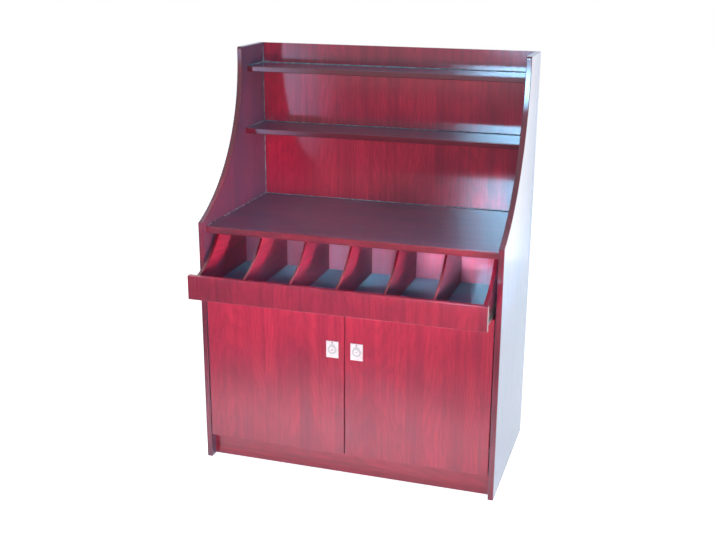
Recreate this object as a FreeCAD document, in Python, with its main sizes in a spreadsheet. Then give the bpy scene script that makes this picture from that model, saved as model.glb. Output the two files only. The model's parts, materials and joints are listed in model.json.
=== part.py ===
"""Condiment station cabinet: shelves, counter, sliding tray with dividers, lockable cupboard.

Frame: X across, the front faces -Y, Z up. The origin is on the floor, at the centre of the
cabinet's plan with the tray pulled out as it stands at rest. Millimetres.
"""
import FreeCAD, Part
import math
import os
import re
import Sketcher

V = FreeCAD.Vector
ALONG_X = FreeCAD.Rotation(V(0, 1, 0), 90)
ALONG_Y = FreeCAD.Rotation(V(1, 0, 0), -90)
UPRIGHT = FreeCAD.Rotation()
TOUCH = 0.01

doc = FreeCAD.newDocument("condiment_station_cabinet")

# ---------------------------------------------------------------------------------------
# Driving dimensions
# ---------------------------------------------------------------------------------------
DIMENSIONS = {
    # carcass
    "width": 1000, "depth": 540, "height": 1365, "board": 18, "back_board": 9,
    "sweep_radius": 550, "sweep_foot": 835, "crown_depth": 193,
    "counter_top": 819, "counter_board": 22, "counter_set": 20,
    "upper_shelf_top": 1296, "upper_shelf_set": 389,
    "lower_shelf_top": 1086, "lower_shelf_set": 362,
    "plinth_high": 84, "plinth_set": 34, "door_zone": 27,
    "deck_top": 610, "post_wide": 50, "edge_round": 2, "nose_round": 8,
    # joinery
    "dowel_radius": 4, "dowel_long": 30, "dowel_bite": 10, "dowel_inset": 40,
    "screw_radius": 1.75, "screw_long": 25, "head_radius": 3.5, "head_high": 2,
    "recess_radius": 1.6, "recess_deep": 1.2,
    # tray
    "pull": 130, "tray_low": 617, "tray_front_high": 79, "tray_gap": 12, "tray_fit": 1.5,
    "tray_board": 12, "divider_board": 9, "housing": 3, "tray_long": 427, "tray_top": 790,
    "curve_radius": 300, "curve_run": 187, "curve_foot": 680, "curve_round": 1.5, "cell_count": 6,
    # slides
    "slide_level": 640, "slide_long": 400, "case_set": 19, "rail_set": 20, "strip": 1.2,
    "case_half": 13.5, "ball_radius": 2, "ball_level": 10.2, "race_gap": 0.05,
    "race_start": 30, "race_sweep": 120, "lip_room": 1.15,
    "stop_half": 4.5, "flat_head": 3.2, "slide_screw_long": 10,
    "cage_long": 110, "cage_set": 100, "cage_play": 0.5, "cage_sheet": 0.8,
    "ball_count": 5, "ball_pitch": 22, "pocket_play": 0.1,
    # doors
    "door_gap": 3, "door_low": 84, "door_top": 613,
    "hinge_rise": 75, "pivot_in": 14, "pivot_deep": 9, "pin_radius": 1.5, "pin_long": 24,
    "eye_radius": 3, "arm_wide": 12, "arm_thick": 2.5, "arm_turn": 19, "arm_lean": 28,
    "arm_sweep": 80, "arm_screw_long": 18, "bridge_thick": 5.5, "bridge_gap": 5,
    "cup_radius": 17.5, "cup_inset": 5, "cup_deep": 13.5, "cup_shell": 1, "cup_rim": 1.5,
    "cheek_wide": 8, "cheek_gap": 0.5,
    "wing_wide": 14, "wing_long": 62, "wing_sheet": 1.2, "wing_screw": 25,
    "cup_screw_long": 13,
    "foot_long": 63, "foot_thick": 5, "foot_near": 40, "foot_far": 64,
    # locks
    "lock_in": 41, "lock_level": 452, "plate_wide": 42, "plate_high": 57, "plate_thick": 2.2,
    "dish_radius": 15, "dish_deep": 1, "dish_rise": 9, "dish_top_radius": 10.5,
    "plate_screw_rise": 23.4,
    "small_screw_radius": 1.25, "small_head_radius": 2.5, "plate_screw_long": 13,
    "slot_wide": 0.8, "slot_deep": 0.8,
    "barrel_radius": 9.5, "barrel_front": 4, "barrel_back": 34.9, "plug_radius": 6,
    "collar_radius": 7.5, "collar_thick": 1.2, "key_wide": 7, "key_high": 2, "key_deep": 9,
    "nut_radius": 14, "nut_thick": 5, "cam_start": 35, "cam_thick": 2, "cam_wide": 14,
    "cam_reach": 30, "tang": 6, "cam_screw_radius": 5, "cam_screw_high": 3,
    "mortise_high": 44, "mortise_wide": 5, "mortise_drop": 10,
}
DERIVED = {
    "front": "=-(depth - pull) / 2",
    "inner": "=width - 2 * board",
    "back_face": "=depth - back_board",
    "crown_set": "=depth - crown_depth",
    "tray_half": "=inner / 2 - tray_gap",
    "box_half": "=inner / 2 - tray_gap - tray_board",
    "tray_front_y": "=front - pull",
    "tray_box_y": "=front - pull + board",
    "side_long": "=tray_long - board",
    "side_high": "=tray_top - tray_low",
    "side_foot": "=curve_foot - tray_low",
    "divider_long": "=tray_long - board - tray_board + housing",
    "divider_low": "=tray_low + tray_board - housing",
    "divider_high": "=tray_top - divider_low",
    "divider_foot": "=curve_foot - divider_low",
    "cell_wide": "=(2 * box_half + divider_board) / cell_count",
    "ball_x": "=inner / 2 - tray_gap / 2",
    "race_radius": "=ball_radius + race_gap",
    "rail_half": "=ball_level - race_radius / 2",
    "lip_wide": "=tray_gap / 2 - lip_room * race_radius",
    "stop_play": "=strip / 2",
    "rail_stop_reach": "=tray_gap - strip - stop_play",
    "flange_wide": "=tray_gap - 2 * strip - 2 * cage_play - strip",
    "race_back": "=ball_radius + race_gap + strip",
    "door_wide": "=(inner - 3 * door_gap) / 2",
    "door_edge": "=inner / 2 - door_gap",
    "door_high": "=door_top - door_low",
    "pivot_x": "=inner / 2 - door_gap - pivot_in",
    "pivot_y": "=front + pivot_deep",
    "cup_x": "=inner / 2 - door_gap - cup_inset - cup_radius",
}


def make_sheet():
    """Spreadsheet with one row for each dimension: its name, then its aliased value."""
    table = doc.addObject("Spreadsheet::Sheet", "dims")
    for row, (alias, value) in enumerate({**DIMENSIONS, **DERIVED}.items(), start=1):
        table.set(f"A{row}", alias)
        table.set(f"B{row}", str(value))
        table.setAlias(f"B{row}", alias)
    doc.recompute()
    return table


dims = make_sheet()


def bound(formula):
    """The formula with every dimension's name led by the sheet's name."""
    def led(word):
        known = word.group(0) in DIMENSIONS or word.group(0) in DERIVED
        return "dims." + word.group(0) if known else word.group(0)
    return re.sub(r"[a-z_]+", led, str(formula))


def bind(obj, **formulas):
    """Bind properties of an object to formulas of the sheet's dimensions."""
    for prop, formula in formulas.items():
        obj.setExpression(prop, bound(formula))


def place(obj, x, y, z, rotation=UPRIGHT):
    """Turn an object, then bind its position."""
    obj.Placement = FreeCAD.Placement(V(), rotation)
    for axis, formula in zip("xyz", (x, y, z)):
        obj.setExpression(f"Placement.Base.{axis}", bound(formula))
    return obj


def value(alias):
    return float(dims.get(alias))


# ---------------------------------------------------------------------------------------
# Solids and their combinations
# ---------------------------------------------------------------------------------------
def box(name, low, sides):
    """Box from its low corner and its three sides."""
    obj = doc.addObject("Part::Box", name)
    bind(obj, Length=sides[0], Width=sides[1], Height=sides[2])
    return place(obj, *low)


def rod(name, start, radius, length, rotation=UPRIGHT, sector=None):
    """Cylinder, or a sector of one, from the centre of its first face."""
    obj = doc.addObject("Part::Cylinder", name)
    bind(obj, Radius=radius, Height=length)
    if sector:
        bind(obj, Angle=sector)
    return place(obj, *start, rotation)


def cone(name, start, first, second, length, rotation=UPRIGHT):
    obj = doc.addObject("Part::Cone", name)
    bind(obj, Radius1=first, Radius2=second, Height=length)
    return place(obj, *start, rotation)


def fuse(name, *shapes):
    obj = doc.addObject("Part::MultiFuse", name)
    obj.Shapes = list(shapes)
    obj.Refine = True
    return obj


def group(name, shapes):
    """Separate solids kept together."""
    obj = doc.addObject("Part::Compound", name)
    obj.Links = list(shapes)
    return obj


def cut(name, base, *tools):
    """The base without its tools, which may touch or overlap each other."""
    obj = doc.addObject("Part::Cut", name)
    obj.Base = base
    obj.Tool = tools[0] if len(tools) == 1 else fuse(name + "_tools", *tools)
    return obj


def mirrored(name, source):
    """The same piece on the other side of the centre plane."""
    obj = doc.addObject("Part::Mirroring", name)
    obj.Source = source
    obj.Normal = V(1, 0, 0)
    return obj


def front_rounded(base, ends=True):
    """Round the edges around a board's front face; without ends, only the long ones."""
    doc.recompute()
    face_y = base.Shape.BoundBox.YMin
    picked = []
    for number, edge in enumerate(base.Shape.Edges, start=1):
        span = edge.BoundBox
        if span.YMax < face_y + TOUCH and (ends or span.XLength > span.ZLength):
            picked.append((number, value("edge_round"), value("edge_round")))
    obj = doc.addObject("Part::Fillet", base.Name + "_rounded")
    obj.Base = base
    obj.Edges = picked
    return obj


def origin_plane(body, role):
    return next(plane for plane in body.Origin.OriginFeatures if plane.Role == role)


def rounded(body, name, radius, wanted):
    """Round those edges of the body's last feature for which wanted is true."""
    doc.recompute()
    last = body.Tip
    names = [f"Edge{number}" for number, edge in enumerate(last.Shape.Edges, start=1)
             if wanted(edge)]
    fillet = body.newObject("PartDesign::Fillet", name)
    fillet.Base = (last, names)
    bind(fillet, Radius=radius)
    doc.recompute()


def swept_board(name, x, corner, thickness, long, high, run, rise, radius):
    """Upright board in the YZ plane whose front edge ends in a concave arc.

    The board is long by high; its arc starts run along the top and ends rise up the front.
    corner is the y and z of its low front corner, x its left face.
    """
    run_length, rise_height, arc_radius = value(run), value(rise), value(radius)
    board_long, board_high = value(long), value(high)
    top, foot = V(run_length, board_high, 0), V(0, rise_height, 0)
    chord = top - foot
    away = V(-chord.y, chord.x, 0).normalize()
    centre = (top + foot) * 0.5 + away * math.sqrt(arc_radius ** 2 - (chord.Length / 2) ** 2)
    start, end = (math.atan2(*((point - centre).y, (point - centre).x)) for point in (foot, top))

    body = doc.addObject("PartDesign::Body", name)
    sketch = body.newObject("Sketcher::SketchObject", name + "_outline")
    sketch.AttachmentSupport = [(origin_plane(body, "YZ_Plane"), "")]
    sketch.MapMode = "FlatFace"
    corners = [foot, V(0, 0, 0), V(board_long, 0, 0), V(board_long, board_high, 0), top]
    for first, second in zip(corners, corners[1:]):
        sketch.addGeometry(Part.LineSegment(first, second), False)
    arc = len(corners) - 1
    circle = Part.Circle(centre, V(0, 0, 1), arc_radius)
    sketch.addGeometry(Part.ArcOfCircle(circle, start, end), False)
    for line in range(arc - 1):
        sketch.addConstraint(Sketcher.Constraint("Coincident", line, 2, line + 1, 1))
    sketch.addConstraint(Sketcher.Constraint("Coincident", arc - 1, 2, arc, 2))
    sketch.addConstraint(Sketcher.Constraint("Coincident", arc, 1, 0, 1))
    sketch.addConstraint(Sketcher.Constraint("Coincident", 0, 2, -1, 1))
    sketch.addConstraint(Sketcher.Constraint("Vertical", 0))
    sketch.addConstraint(Sketcher.Constraint("Horizontal", 1))
    sketch.addConstraint(Sketcher.Constraint("Vertical", 2))
    sketch.addConstraint(Sketcher.Constraint("Horizontal", 3))
    sized = [("Distance", (0,), rise), ("Distance", (1,), long), ("Distance", (2,), high),
             ("DistanceX", (-1, 1, arc, 2), run), ("Radius", (arc,), radius)]
    for kind, where, formula in sized:
        number = sketch.addConstraint(Sketcher.Constraint(kind, *where, value(formula)))
        sketch.setExpression(f"Constraints[{number}]", bound(formula))
    pad = body.newObject("PartDesign::Pad", name + "_pad")
    pad.Profile = sketch
    bind(pad, Length=thickness)
    return place(body, x, *corner)


def is_arc(edge):
    return isinstance(edge.Curve, Part.Circle)


def side_panel_blank(name, x):
    """Side panel with its crown's corner rounded, then the arrises of its whole front."""
    body = swept_board(name, x, ("front", "0"), "board", "depth", "height", "crown_set",
                       "sweep_foot", "sweep_radius")
    crown = V(value("board") / 2, value("crown_set"), value("height"))
    rounded(body, name + "_nose", "nose_round",
            lambda edge: edge.CenterOfMass.distanceToPoint(crown) < TOUCH)
    rounded(body, name + "_arrises", "edge_round",
            lambda edge: is_arc(edge) or edge.BoundBox.YMax < TOUCH < edge.BoundBox.ZLength)
    return body


def curved_board(name, x, corner, thickness, long, high, rise):
    """Tray side or divider: a swept board whose curved edge is eased on both faces."""
    body = swept_board(name, x, corner, thickness, long, high, "curve_run", rise,
                       "curve_radius")
    rounded(body, name + "_eased", "curve_round", is_arc)
    return body


# ---------------------------------------------------------------------------------------
# Fasteners
# ---------------------------------------------------------------------------------------
def dowel(name, start, rotation=ALONG_X):
    return rod(name, start, "dowel_radius", "dowel_long", rotation)


def screw(name, start, rotation, head="head_radius", sink="head_high", length="screw_long",
          shank="screw_radius"):
    """Countersunk screw from the centre of its head, along its rotation's Z."""
    taper = cone(name + "_head", start, head, shank, sink, rotation)
    return fuse(name, taper, rod(name + "_shank", start, shank, length, rotation))


def wood_screws(name, places):
    """Screws with square drive recesses; returns the pieces and the holes that they fill."""
    plain, recesses = [], []
    for number, (start, rotation) in enumerate(places):
        plain.append(screw(f"{name}_{number}", start, rotation))
        recess = doc.addObject("Part::Prism", f"{name}_{number}_recess")
        recess.Polygon = 4
        bind(recess, Circumradius="recess_radius", Height="recess_deep")
        recesses.append(place(recess, *start, rotation))
    holes = group(name + "_holes", plain)
    return cut(name, holes, group(name + "_recesses", recesses)), holes


# ---------------------------------------------------------------------------------------
# Carcass
# ---------------------------------------------------------------------------------------
def level_boards():
    """Boards between the side panels: name, front set back, underside, thickness."""
    return {
        "bottom_board": ("door_zone", "plinth_high", "board"),
        "deck_board": ("door_zone", "deck_top - board", "board"),
        "countertop": ("counter_set", "counter_top - counter_board", "counter_board"),
        "lower_shelf": ("lower_shelf_set", "lower_shelf_top - board", "board"),
        "upper_shelf": ("upper_shelf_set", "upper_shelf_top - board", "board"),
    }


def dowel_places():
    """Dowels at both ends of every board, and up into both ends of the post."""
    places = []
    for front_set, low, thick in level_boards().values():
        deep = value(front_set) < value("depth") / 3
        middle = [f"front + (back_face + {front_set}) / 2"] if deep else []
        for y in [f"front + {front_set} + dowel_inset", *middle, "front + back_face - dowel_inset"]:
            places.append((y, f"{low} + {thick} / 2"))
    for share in (0.3, 0.7):
        places.append(("front + plinth_set + board / 2", f"plinth_high * {share}"))
    return places


def make_dowels():
    pieces = []
    for number, (y, z) in enumerate(dowel_places()):
        pieces.append(dowel(f"dowel_left_{number}", ("-inner / 2 - dowel_bite", y, z)))
        right = ("inner / 2 + dowel_bite - dowel_long", y, z)
        pieces.append(dowel(f"dowel_right_{number}", right))
    post_y = "front + door_zone + board / 2"
    low = ("0", post_y, "plinth_high + board - dowel_bite")
    high = ("0", post_y, "deck_top - board + dowel_bite - dowel_long")
    pieces.append(dowel("dowel_post_low", low, UPRIGHT))
    pieces.append(dowel("dowel_post_high", high, UPRIGHT))
    return group("dowels", pieces)


def make_back_screws():
    """Screws through the back panel into the side panels and the boards."""
    places = []
    inward = FreeCAD.Rotation(V(1, 0, 0), 90)
    for side in ("-", ""):
        for share in (0.08, 0.3, 0.5, 0.72, 0.96):
            x = f"{side}(inner / 2 + back_board / 2)"
            places.append(((x, "front + depth", f"height * {share}"), inward))
        for front_set, low, thick in level_boards().values():
            spot = (f"{side}inner / 4", "front + depth", f"{low} + {thick} / 2")
            places.append((spot, inward))
    return wood_screws("back_screws", places)


def make_carcass(dowels, back_holes, case_holes, arm_holes):
    left = side_panel_blank("left_panel_blank", "-width / 2")
    right = side_panel_blank("right_panel_blank", "inner / 2")
    back_blank = box("back_blank", ("-inner / 2 - back_board", "front + back_face", "0"),
                     ("inner + 2 * back_board", "back_board", "height"))
    cut("left_side_panel", left, back_blank, dowels, back_holes, case_holes, arm_holes)
    cut("right_side_panel", right, back_blank, dowels, back_holes, case_holes, arm_holes)
    cut("back_panel", back_blank, back_holes)
    for name, (front_set, low, thick) in level_boards().items():
        blank = box(name + "_blank", ("-inner / 2", f"front + {front_set}", low),
                    ("inner", f"back_face - {front_set}", thick))
        cut(name, front_rounded(blank, ends=False), dowels, back_holes)
    plinth = box("plinth_blank", ("-inner / 2", "front + plinth_set", "0"),
                 ("inner", "board", "plinth_high"))
    cut("plinth_board", plinth, dowels)
    post = box("post_blank", ("-post_wide / 2", "front + door_zone", "plinth_high + board"),
               ("post_wide", "board", "deck_top - 2 * board - plinth_high"))
    slot_y = "front + cam_start + cam_thick / 2 - mortise_wide / 2"
    mortise = box("mortise", ("-post_wide / 2", slot_y, "lock_level - mortise_drop"),
                  ("post_wide", "mortise_wide", "mortise_high"))
    cut("door_post", post, mortise, dowels)


# ---------------------------------------------------------------------------------------
# Tray
# ---------------------------------------------------------------------------------------
DIVIDERS = range(1, DIMENSIONS["cell_count"])


def make_tray_screws():
    """Screws through the tray sides into its floor and back board, and up into dividers."""
    places = []
    for side, rotation in (("-", ALONG_X), ("", ALONG_X.inverted())):
        x = f"{side}tray_half"
        for share in (0.12, 0.5, 0.88):
            y = f"tray_box_y + side_long * {share}"
            places.append(((x, y, "tray_low + tray_board / 2"), rotation))
        for share in (0.4, 0.85):
            z = f"tray_low + side_high * {share}"
            places.append(((x, "front - pull + tray_long - tray_board / 2", z), rotation))
    for number in DIVIDERS:
        for share in (0.15, 0.8):
            x = f"(cell_wide * ({number} - cell_count / 2))"
            y = f"tray_box_y + side_long * {share}"
            places.append(((x, y, "tray_low"), UPRIGHT))
    return wood_screws("tray_screws", places)


def make_tray(screw_holes, rail_holes):
    front_blank = box("tray_front_blank",
                      ("-inner / 2 + tray_fit", "tray_front_y", "tray_low"),
                      ("inner - 2 * tray_fit", "board", "tray_front_high"))
    front_rounded(front_blank).Label = "tray_front"
    dividers = []
    for number in DIVIDERS:
        x = f"cell_wide * ({number} - cell_count / 2) - divider_board / 2"
        blank = curved_board(f"divider_blank_{number}", x, ("tray_box_y", "divider_low"),
                             "divider_board", "divider_long", "divider_high", "divider_foot")
        dividers.append(blank)
        cut(f"tray_divider_{number}", blank, screw_holes)
    floor_blank = box("floor_blank", ("-box_half", "tray_box_y", "tray_low"),
                      ("2 * box_half", "side_long", "tray_board"))
    back_blank = box("tray_back_blank",
                     ("-box_half", "front - pull + tray_long - tray_board",
                      "tray_low + tray_board"),
                     ("2 * box_half", "tray_board", "side_high - tray_board"))
    cut("tray_floor", floor_blank, screw_holes, *dividers)
    cut("tray_back", back_blank, screw_holes, *dividers)
    for side, x in (("left", "-tray_half"), ("right", "box_half")):
        blank = curved_board(f"tray_{side}_blank", x, ("tray_box_y", "tray_low"), "tray_board",
                             "side_long", "side_high", "side_foot")
        cut(f"tray_{side}_side", blank, screw_holes, rail_holes)


# ---------------------------------------------------------------------------------------
# Slides, drawn on the left and mirrored
# ---------------------------------------------------------------------------------------
def race(name, start, first_angle):
    """Strip rolled around the balls' upper line: a sector of a tube along Y."""
    turned = FreeCAD.Rotation(V(1, 0, 0), 90) * FreeCAD.Rotation(V(0, 0, 1), first_angle)
    far_end = ("-ball_x", f"{start} + slide_long", "slide_level + ball_level")
    outer = rod(name + "_outer", far_end, "race_back", "slide_long", turned, "race_sweep")
    inner = rod(name + "_inner", far_end, "race_radius", "slide_long", turned)
    return cut(name, outer, inner)


def mirror_level(shape, name):
    """The same shape below the slide's middle line."""
    obj = doc.addObject("Part::Mirroring", name)
    obj.Source = shape
    obj.Normal = V(0, 0, 1)
    obj.setExpression("Base.z", bound("slide_level"))
    return obj


def slide_screws(name, x, start, rotation):
    """Screws with flat heads sunk in a strip's web, on both sides; they fill their holes."""
    pieces = []
    for number, share in enumerate((0.08, 0.5, 0.9)):
        spot = (x, f"{start} + slide_long * {share}", "slide_level")
        pieces.append(screw(f"{name}_{number}", spot, rotation, "flat_head", "strip",
                            "slide_screw_long"))
    left = group(name + "_left", pieces)
    return group(name, [left, mirrored(name + "_right", left)])


def make_slide_member(tag, start, half, web_x, lip_x, lip_high, first_angle, stop):
    """Rolled strip: web, two lips, two races around the ball lines, and an end stop."""
    web = box(tag + "_web", (web_x, start, f"slide_level - {half}"),
              ("strip", "slide_long", f"2 * {half}"))
    lip = box(tag + "_lip", (lip_x, start, lip_high), ("lip_wide", "slide_long", "strip"))
    roll = race(tag + "_race", start, first_angle)
    return fuse(tag + "_solid", web, lip, roll, stop, mirror_level(lip, tag + "_lip_low"),
                mirror_level(roll, tag + "_race_low"))


def make_cases(holes):
    """Outer strips of the slides, on the side panels."""
    start = "front + case_set"
    stop = box("case_stop", ("-inner / 2", start, "slide_level - stop_half"),
               ("2 * strip", "strip", "2 * stop_half"))
    solid = make_slide_member(
        "case", start, "case_half", "-inner / 2", "-inner / 2",
        "slide_level + ball_level + race_radius / 2", value("race_start"), stop)
    mirrored("right_slide_case", cut("left_slide_case", solid, holes))


def make_rails(holes):
    """Inner strips of the slides, on the tray sides."""
    start = "front - pull + rail_set"
    stop = box("rail_stop", ("-tray_half - rail_stop_reach", f"{start} + slide_long - strip",
                             "slide_level - stop_half"),
               ("rail_stop_reach", "strip", "2 * stop_half"))
    solid = make_slide_member(
        "rail", start, "rail_half", "-tray_half - strip", "-tray_half - lip_wide",
        "slide_level + rail_half - strip", value("race_start") + 180, stop)
    mirrored("right_slide_rail", cut("left_slide_rail", solid, holes))


def make_cages():
    """Ball cages, which run at half the tray's travel, and their balls."""
    start = "front + cage_set"
    cage_x = "-inner / 2 + strip + cage_play"
    web = box("cage_web", (cage_x, start, "slide_level - ball_level"),
              ("cage_sheet", "cage_long", "2 * ball_level"))
    flange = box("cage_flange", (cage_x, start, "slide_level + ball_level - cage_sheet / 2"),
                 ("flange_wide", "cage_long", "cage_sheet"))
    pockets, balls = [], []
    for number in range(DIMENSIONS["ball_count"]):
        y = f"{start} + cage_long / 2 + ball_pitch * ({number} - (ball_count - 1) / 2)"
        for side, level in (("upper", "ball_level"), ("lower", "-ball_level")):
            tag = f"{side}_{number}"
            z = f"slide_level + {level}"
            pockets.append(rod("pocket_" + tag, ("-ball_x", y, f"{z} - cage_sheet"),
                               "ball_radius + pocket_play", "2 * cage_sheet"))
            ball = doc.addObject("Part::Sphere", "ball_" + tag)
            bind(ball, Radius="ball_radius")
            balls.append(place(ball, "-ball_x", y, z))
    solid = fuse("cage_solid", web, flange, mirror_level(flange, "cage_flange_low"))
    mirrored("right_ball_cage", cut("left_ball_cage", solid, group("pockets", pockets)))
    mirrored("right_balls", group("left_balls", balls))


# ---------------------------------------------------------------------------------------
# Doors: single-pivot concealed hinges and cam locks, drawn on the left and mirrored
# ---------------------------------------------------------------------------------------
HINGE_LEVELS = {"upper": "door_top - hinge_rise", "lower": "door_low + hinge_rise"}


def hinge_arm(level, screws):
    """Arm that hooks out of the cup, around the door's swinging edge, to the side panel.

    Its eye is on the pivot; the foot lies on the panel behind the door.
    """
    low = f"{HINGE_LEVELS[level]} - arm_wide / 2"
    tag = f"{level}_arm"
    pivot = ("-pivot_x", "pivot_y", low)
    lean = FreeCAD.Rotation(V(0, 0, 1), value("arm_lean"))
    eye = rod(tag + "_eye", pivot, "eye_radius", "arm_wide")
    spoke = doc.addObject("Part::Box", tag + "_spoke")
    bind(spoke, Length="arm_turn + arm_thick / 2", Width="arm_thick", Height="arm_wide")
    place(spoke, "-pivot_x + arm_thick / 2 * sin(arm_lean)",
          "pivot_y - arm_thick / 2 * cos(arm_lean)", low, lean)
    hook = rod(tag + "_hook", pivot, "arm_turn + arm_thick / 2", "arm_wide", lean,
               "arm_sweep")
    corner = ("-inner / 2", "pivot_y + arm_turn + arm_thick - bridge_thick", low)
    bridge = box(tag + "_bridge", corner,
                 ("inner / 2 - pivot_x - bridge_gap", "bridge_thick", "arm_wide"))
    foot = box(tag + "_foot", corner, ("foot_thick", "foot_long", "arm_wide"))
    room = rod(tag + "_room", pivot, "arm_turn - arm_thick / 2", "arm_wide")
    bore = rod(tag + "_bore", pivot, "pin_radius + race_gap", "arm_wide")
    outside = cut(tag + "_outside", fuse(tag + "_outline", hook, bridge, foot), room)
    left = cut(f"left_{level}_hinge_arm", fuse(tag + "_solid", outside, spoke, eye), bore,
               screws)
    mirrored(f"right_{level}_hinge_arm", left)


def make_arm_screws():
    """Screws that hold the hinge arms' feet to the side panels; they fill their holes."""
    pieces = []
    for level, z in HINGE_LEVELS.items():
        for along in ("foot_near", "foot_far"):
            spot = ("-inner / 2 + foot_thick", f"pivot_y + {along}", z)
            pieces.append(screw(f"{level}_{along}_screw", spot, ALONG_X.inverted(),
                                length="arm_screw_long"))
    left = group("arm_screws_left", pieces)
    return group("hinge_arm_screws", [left, mirrored("arm_screws_right", left)])


def hinge_cup(level, screws):
    """Cup sunk in the door: a shell, two cheeks that hold the pin, and a wing plate."""
    z = HINGE_LEVELS[level]
    tag = f"{level}_cup"
    rear = "front + board"
    bottom = f"{rear} - cup_deep"
    shell = rod(tag + "_shell", ("-cup_x", bottom, z), "cup_radius", "cup_deep", ALONG_Y)
    hollow = rod(tag + "_hollow", ("-cup_x", f"{bottom} + cup_shell", z),
                 "cup_radius - cup_shell", "cup_deep + wing_sheet", ALONG_Y)
    rim = rod(tag + "_rim", ("-cup_x", rear, z), "cup_radius + cup_rim", "wing_sheet", ALONG_Y)
    wing = box(tag + "_wing", ("-cup_x - wing_wide / 2", rear, f"{z} - wing_long / 2"),
               ("wing_wide", "wing_sheet", "wing_long"))
    open_cup = cut(tag + "_open", fuse(tag + "_body", shell, rim, wing), hollow)
    cheeks = []
    for side, low in (("above", f"{z} + arm_wide / 2 + cheek_gap"),
                      ("below", f"{z} - pin_long / 2")):
        cheeks.append(box(f"{tag}_cheek_{side}",
                          ("-pivot_x - cheek_wide / 2", f"{bottom} + cup_shell / 2", low),
                          ("cheek_wide", "pivot_deep - cup_shell / 2",
                           "pin_long / 2 - arm_wide / 2 - cheek_gap")))
    pin = rod(f"{level}_pin", ("-pivot_x", "pivot_y", f"{z} - pin_long / 2"), "pin_radius",
              "pin_long")
    cup = cut(f"left_{level}_hinge_cup", fuse(tag + "_cast", open_cup, *cheeks), pin, screws)
    mirrored(f"right_{level}_hinge_cup", cup)
    seat = rod(tag + "_seat", ("-cup_x", bottom, z), "cup_radius", "cup_deep", ALONG_Y)
    return pin, seat


def make_cup_screws():
    """Screws through the cups' wings into the door; they fill their holes."""
    pieces = []
    inward = FreeCAD.Rotation(V(1, 0, 0), 90)
    for level, z in HINGE_LEVELS.items():
        for side in ("+", "-"):
            spot = ("-cup_x", "front + board + wing_sheet", f"{z} {side} wing_screw")
            name = f"{level}_cup_screw_{'high' if side == '+' else 'low'}"
            pieces.append(screw(name, spot, inward, "flat_head", "wing_sheet",
                                "cup_screw_long"))
    return group("left_cup_screws", pieces)


def make_lock_case(x, z, barrel):
    """Plate with a shallow keyhole-shaped dish, cast with the barrel; and its screw."""
    face = "front - plate_thick"
    plate = box("plate_blank", ("-lock_in - plate_wide / 2", face, f"{z} - plate_high / 2"),
                ("plate_wide", "plate_thick", "plate_high"))
    dish = rod("dish_low", (x, face, z), "dish_radius", "dish_deep", ALONG_Y)
    dish_top = rod("dish_top", (x, face, f"{z} + dish_rise"), "dish_top_radius",
                   "dish_deep", ALONG_Y)
    spot = (x, face, f"{z} + plate_screw_rise")
    screw_blank = screw("plate_screw_blank", spot, ALONG_Y, "small_head_radius",
                        "plate_thick", "plate_screw_long", "small_screw_radius")
    slot = box("plate_screw_slot", ("-lock_in - small_head_radius", face,
                                    f"{z} + plate_screw_rise - slot_wide / 2"),
               ("2 * small_head_radius", "slot_deep", "slot_wide"))
    mirrored("right_plate_screw", cut("left_plate_screw", screw_blank, slot))
    bore = rod("barrel_bore", (x, "front - barrel_front", z), "plug_radius + race_gap",
               "barrel_front + barrel_back", ALONG_Y)
    dished = cut("plate_dished", front_rounded(plate), dish, dish_top)
    case = cut("left_lock_case", fuse("lock_cast", dished, barrel), bore, screw_blank)
    mirrored("right_lock_case", case)
    return screw_blank


def make_lock_rotor(x, z):
    """Plug with its key slot, the cam on its square tang, and the cam's screw."""
    head_face = "front - barrel_front - collar_thick - race_gap"
    body = rod("plug_body", (x, head_face, z), "plug_radius",
               "barrel_front + collar_thick + race_gap + cam_start", ALONG_Y)
    collar = rod("plug_collar", (x, head_face, z), "collar_radius", "collar_thick", ALONG_Y)
    tang = box("plug_tang", (f"{x} - tang / 2", "front + cam_start", f"{z} - tang / 2"),
               ("tang", "cam_thick", "tang"))
    key = box("key_slot", (f"{x} - key_wide / 2", head_face, f"{z} - key_high / 2"),
              ("key_wide", "key_deep", "key_high"))
    screw_head = rod("cam_screw_head", (x, "front + cam_start + cam_thick", z),
                     "cam_screw_radius", "cam_screw_high", ALONG_Y)
    screw_shank = rod("cam_screw_shank", (x, "front + cam_start - tang", z), "screw_radius",
                      "tang + cam_thick", ALONG_Y)
    cam_screw = fuse("left_cam_screw", screw_head, screw_shank)
    plug = cut("left_lock_plug", fuse("plug_solid", body, collar, tang), key, cam_screw)
    arm = box("cam_arm", (f"{x} - cam_wide / 2", "front + cam_start", f"{z} - cam_wide / 2"),
              ("cam_wide", "cam_thick", "cam_reach"))
    tip = rod("cam_tip", (x, "front + cam_start", f"{z} + cam_reach - cam_wide / 2"),
              "cam_wide / 2", "cam_thick", ALONG_Y)
    cam = cut("left_lock_cam", fuse("cam_solid", arm, tip), tang)
    for piece in (plug, cam, cam_screw):
        mirrored(piece.Name.replace("left", "right"), piece)


def make_lock():
    """Cam lock; returns what the door is bored for."""
    x, z = "-lock_in", "lock_level"
    barrel = rod("barrel_solid", (x, "front - barrel_front", z), "barrel_radius",
                 "barrel_front + barrel_back", ALONG_Y)
    nut = doc.addObject("Part::Prism", "nut_blank")
    nut.Polygon = 6
    bind(nut, Circumradius="nut_radius", Height="nut_thick")
    place(nut, x, "front + board", z, ALONG_Y)
    mirrored("right_lock_nut", cut("left_lock_nut", nut, barrel))
    plate_screw = make_lock_case(x, z, barrel)
    make_lock_rotor(x, z)
    return [barrel, plate_screw]


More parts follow.
